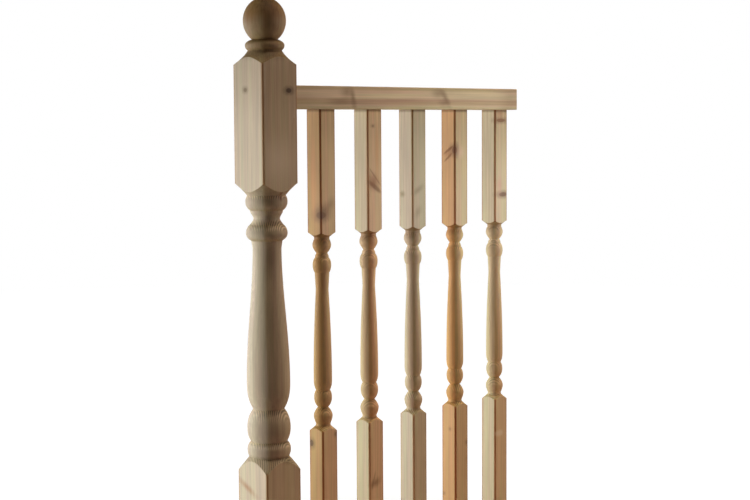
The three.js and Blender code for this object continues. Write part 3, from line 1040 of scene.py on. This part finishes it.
# A tint: where it begins and where it is full, in millimetres up from the middle of the timber or, on
# the newel, from its foot. Then its colour, and the wood that takes it.
# painted shade on each spindle where it meets the rails and on its turned neck under the upper block
painted_joint_and_neck_shade = [(443, 448, "#c4bcb3", "all"), (-443, -448, "#c4bcb3", "all"), (176, 192, "#dcd3ca", "turned")]
timbers = {
    "newel": dict(
        sap="#d6c8af",
        heart="#bda182",
        turned="#eeecee",
        tinged=0.4,
        pith=(34, -94),
        ring=3.6,
        torn=0.16,
        torn_at=[255, 293, 351, 717, 770],
        torn_below=1020,
        tints=[
            (900, 1020, "#f2efec", "all"),
            (1005, 1030, "#e3d5bb", "turned"),
            (1108, 1134, "#e9dabf", "turned"),
            (274, 266, "#e2e0da", "turned"),
        ],
    ),
    "handrail": dict(
        sap="#d8c0a0",
        heart="#d8c0a0",
        pith=(30, 70),
        ring=4.2,
        planed=0.12,
        bands=[(-0.35, 0.42, "#e2d6cf"), (0.95, 0.4, "#e6e2d4"), (-0.95, 0.35, "#f2faec")],
    ),
    "base_rail": dict(sap="#dcc6a4", heart="#dcc6a4", pith=(-34, 64), ring=3.9),
    # on the spindles below, the arris colours and the tints are painted shade
    "spindle_1": dict(
        sap="#c09e6b", heart="#d5b28b", turned="#ebe3d3", arris_shade="#c49b79", pith=(-20, -48), tints=painted_joint_and_neck_shade
    ),
    "spindle_2": dict(
        sap="#c9bfa1", heart="#d3b18a", turned="#f5e2d2", arris_shade="#d2b195", pith=(30, 34), tints=painted_joint_and_neck_shade
    ),
    "spindle_3": dict(
        sap="#c8bea8", heart="#baaa8c", turned="#f8eee5", pith=(44, -30), tints=painted_joint_and_neck_shade
    ),
    "spindle_4": dict(
        sap="#d0a675", heart="#c4a87f", turned="#faf1de", arris_shade="#bf9170", pith=(-26, 38), tints=painted_joint_and_neck_shade
    ),
    "spindle_5": dict(
        sap="#cfc4a6", heart="#cbaf89", turned="#fbf1e6", arris_shade="#cea286", pith=(38, 24), tints=painted_joint_and_neck_shade
    ),
}


def finish_post(key, piece, low, high, centre):
    """Gives a post its own timber, marks and all."""
    half = (high[1] - low[1]) / 2
    marks = [mark_on(centre[:2], half, *mark) for mark in post_marks[key].values()]
    timber = {**common, **timbers[key], "marks": marks}
    piece.data.materials.append(treated_pine(f"treated_pine_{key}", timber, centre, half))


finish_post("newel", newel_piece, newel_low, newel_high, (0, 0, 0))
for name, piece in spindle_pieces.items():
    finish_post(name, piece, *spindle_boxes[name], sum(spindle_boxes[name]) / 2)

handrail_marks = [rail_mark(*stain) for stain in stains_and_shades_on_rail.values()]
rail_boxes = {
    "handrail": (handrail_piece, handrail_low, handrail_high, handrail_marks),
    "base_rail": (base_rail_piece, base_low, base_high, []),
}
for key, (piece, low, high, marks) in rail_boxes.items():
    timber = {**common, **timbers[key], "marks": marks}
    middle, half = (low + high) / 2, (high[2] - low[2]) / 2
    piece.data.materials.append(treated_pine(f"treated_pine_{key}", timber, middle, half, GRAIN_ALONG))
print(len(bpy.data.materials), "materials")

# %% [markdown]
# ## The frame's claims
# Each finer piece stands for one solid of the model, which is hidden. The name of that piece's slot is
# listed beside it but not used.
# Nothing moves, so every piece rides on the body called root.

# %% Ride and replace
slots = {
    "spindle_1": "spindle_timber_orange",
    "spindle_2": "spindle_timber_green",
    "spindle_3": "spindle_timber_grey",
    "spindle_4": "spindle_timber_orange",
    "spindle_5": "spindle_timber_green",
}
dressed = [
    (newel_piece, "newel_post", "newel_timber"),
    (handrail_piece, "handrail", "rail_timber"),
    (base_rail_piece, "base_rail", "rail_timber"),
]
dressed += [(piece, name, slots[name]) for name, piece in spindle_pieces.items()]
for piece, node, slot_name in dressed:
    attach(piece, "root")
    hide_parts(node)
print(len(dressed), "pieces ride on root")

# %% [markdown]
# ## Floor and backdrop
# The photograph is a cut-out on white. The real studio would have a roll of pale paper, so the floor
# here is a wide disc of paper that the camera sees as white, with painted shadow that makes it a little
# darker right under the panel, where it also takes the soft shadow. A Light Path node tells the camera's
# rays from all others, which meet plain matt paper, so the posts get the light that a real floor throws
# back. The world does the same: white to the camera, and next to nothing to the timber, because the
# lamps are to shape it.

# %% Floor
FLOOR_RADIUS = 6.0
FLOOR_SIDES = 96
FLOOR_DROP = 0.0005
# the painted shadow on the floor: its middle, the distances in metres over which it fades out, and the
# floor's brightness at its darkest
PAINTED_SHADOW_MIDDLE = (0.33, 0, 0)
PAINTED_SHADOW_FROM, PAINTED_SHADOW_TO, PAINTED_SHADOW_GLOW = 0.3, 0.85, 0.8


def floor_disc():
    """A flat disc that lies just under the posts' feet."""
    turns = np.linspace(0, 2 * math.pi, FLOOR_SIDES, endpoint=False)
    rim = [(FLOOR_RADIUS * math.cos(a), FLOOR_RADIUS * math.sin(a), 0.0) for a in turns]
    mesh = bpy.data.meshes.new("studio_floor")
    mesh.from_pydata(rim, [], [tuple(range(FLOOR_SIDES))])
    disc = bpy.data.objects.new("studio_floor", mesh)
    disc.location.z = -FLOOR_DROP
    bpy.context.scene.collection.objects.link(disc)
    return disc


def studio_paper():
    """White paper to the camera, with painted shadow in a darker pool under the panel, and matt paper to all
    other rays.
    """
    paper = bpy.data.materials.new("studio_paper")
    paper.use_nodes = True
    tree = paper.node_tree
    tree.nodes.clear()
    place = add(tree, "TexCoord", output="Object")
    away = add(tree, "VectorMath", [place, PAINTED_SHADOW_MIDDLE], VALUE, operation="DISTANCE")
    glow = add(tree, "MapRange", [away, PAINTED_SHADOW_FROM, PAINTED_SHADOW_TO, PAINTED_SHADOW_GLOW, 1.0], **SMOOTH)
    seen = add(tree, "LightPath", output="Is Camera Ray")
    shown = add(tree, "Emission", {"Color": linear("#ffffff"), "Strength": glow})
    shaded = add(tree, "BsdfDiffuse", {"Color": linear("#939393")})
    shown = add(tree, "AddShader", [shown, shaded])
    matt = add(tree, "BsdfDiffuse", {"Color": linear("#e7e7e7")})
    add(tree, "OutputMaterial", {"Surface": add(tree, "MixShader", [seen, matt, shown])})
    return paper


floor = floor_disc()
floor.data.materials.append(studio_paper())
print("floor", 2 * FLOOR_RADIUS, "m across")

# %% World
AMBIENT = 0.02
AMBIENT_COLOUR = (1.0, 0.85, 0.7, 1)
world = bpy.data.worlds.new("studio")
bpy.context.scene.world = world
world.use_nodes = True
tree = world.node_tree
tree.nodes.clear()
seen = add(tree, "LightPath", output="Is Camera Ray")
white = add(tree, "Background", {"Color": linear("#ffffff"), "Strength": 1.0})
room = add(tree, "Background", {"Color": AMBIENT_COLOUR, "Strength": AMBIENT})
add(tree, "OutputWorld", {"Surface": add(tree, "MixShader", [seen, room, white])})
print("ambient", AMBIENT)

# %% [markdown]
# ## Light from the left
# The brightness across a turned post tells where the lamps stood. It is brightest at the left edge,
# falls to its darkest right of the middle and rises again at the right edge. So the main light comes
# level from the left, partly from behind the panel and partly from in front. Softboxes (area lights)
# give it its soft turn round the beads, and spot lights of the same reach add strength without
# spilling on the floor.

# %% Lamps on the left
panel_middle = Vector((0.3, 0, 0.5))
left_way = -level
away_way = Vector((math.sin(yaw), math.cos(yaw), 0))
LEFT_DISTANCE = 3.6
KEY_BOX = 1.2
KEY_CONE = 28
KEY_SOFTNESS = 0.4


def aimed(light_object, place, target):
    """Puts a lamp at a place and turns it towards its target, both in metres."""
    light_object.location = place
    light_object.rotation_euler = (Vector(target) - Vector(place)).to_track_quat("-Z", "Y").to_euler()
    bpy.context.scene.collection.objects.link(light_object)
    return light_object


def softbox(name, place, target, watts, width, height, colour=(1, 1, 1)):
    """A flat lamp, its width and height in metres."""
    light = bpy.data.lights.new(name, "AREA")
    light.shape = "RECTANGLE"
    light.size, light.size_y = width, height
    light.energy, light.color = watts, colour
    return aimed(bpy.data.objects.new(name, light), place, target)


def spotlight(name, place, target, watts, cone, softness, colour=(1, 1, 1)):
    """A lamp with a cone in degrees, whose softness is its own radius in metres."""
    light = bpy.data.lights.new(name, "SPOT")
    light.energy, light.color = watts, colour
    light.spot_size, light.spot_blend = math.radians(cone), 1.0
    light.shadow_soft_size = softness
    return aimed(bpy.data.objects.new(name, light), place, target)


def on_the_left(towards_camera):
    """A place level with the panel's middle, from the left round towards the camera or away from it."""
    return panel_middle + (left_way - away_way * towards_camera).normalized() * LEFT_DISTANCE


softbox("key_back_softbox", on_the_left(-0.5), panel_middle, 54, KEY_BOX, KEY_BOX, (0.93, 0.98, 1.12))
softbox("key_front_softbox", on_the_left(0.3), panel_middle, 29, KEY_BOX, KEY_BOX, (1.02, 1, 0.96))
softbox("fill_softbox", on_the_left(0.7), panel_middle, 12.3, KEY_BOX, KEY_BOX, (1.08, 0.98, 0.84))
lower = Vector((0, 0, -0.2))
key_place = on_the_left(0)
spotlight("key_spot", key_place, panel_middle, 203, KEY_CONE, KEY_SOFTNESS)
spotlight("key_spot_low", key_place + lower, panel_middle + lower, 155, KEY_CONE, KEY_SOFTNESS)
print("the left light stands", LEFT_DISTANCE, "m away")

# %% [markdown]
# ## Light from behind, from the right and from above
# A light behind the panel rims the posts and lights their far sides. At the right, small lamps give the
# right faces their tone. The spindles' faces get brighter and change in warmth along the row in the
# photograph, so those lamps differ in colour and aim at different stretches of it. Together they make
# a soft, slightly cool light. Two narrow lamps overhead reach the shoulders and the tops of the beads,
# one lights the ball from the right, and weak warm ones near the floor light the posts' feet.

# %% Lamps behind, on the right and above
RIM_DISTANCE = 2.6
RIM_AWAY = 0.6
back_right = (away_way * RIM_AWAY - left_way).normalized() * RIM_DISTANCE
softbox("rim_softbox", panel_middle + back_right, panel_middle, 9.8, 1.2, 1.6, (0.96, 0.93, 0.85))
spotlight("back_spot", panel_middle + away_way * LEFT_DISTANCE, panel_middle, 200, 24, 0.5)

softbox("right_softbox_low", (1.35, -0.75, 0.45), (0.45, 0, 0.45), 2.6, 0.4, 0.4, (1, 0.92, 0.72))
softbox("right_softbox_high", (1.3, -0.9, 1.5), (0.4, 0, 0.75), 5.6, 0.4, 0.4, (1, 0.89, 0.82))
# each lamp's place and target in metres, its watts, its cone in degrees, its radius and its colour
spots = {
    "right_spot": ((1.5, -0.95, 0.75), (0.45, 0, 0.75), 15.8, 36, 0.2, (0.9, 0.87, 1)),
    "right_spot_row": ((1.15, -1.35, 0.74), (0.45, 0, 0.74), 24.6, 28, 0.2, (1, 0.78, 0.78)),
    "right_spot_end": ((1.3, -1.2, 0.75), (0.66, 0, 0.75), 30.8, 22, 0.15, (0.26, 0.63, 1)),
    "right_spot_side": ((1.6, -1.05, 0.70), (0.5, 0, 0.70), 25.5, 22, 0.15, (0.34, 0.69, 1)),
    "right_spot_foot": ((1.5, -0.9, 0.12), (0.4, 0, 0.12), 3.8, 26, 0.2, (1, 0.4, 0)),
    "overhead_spot": ((0.85, -0.25, 3.0), (0.42, 0, 0.3), 125, 24, 0.25, (1, 0.96, 0.86)),
    "overhead_newel_spot": ((0.1, -0.45, 3.0), (0, 0, 0.45), 82, 16, 0.2, (1, 0.98, 0.85)),
    "ball_spot": ((1.6, -1.0, 1.15), (0, 0, 1.16), 82, 6.5, 0.1),
}
for name, lamp in spots.items():
    spotlight(name, *lamp)
softbox("floor_bounce", (0.45, -0.3, 0.01), (0.45, -0.28, 1), 0.4, 1.0, 0.25, (1, 0.2, 0))

# The Standard view shows the colours as they are, with no film curve laid over them
bpy.context.scene.view_settings.view_transform = "Standard"
bpy.context.scene.view_settings.look = "None"
print(len(bpy.data.lights), "lights")
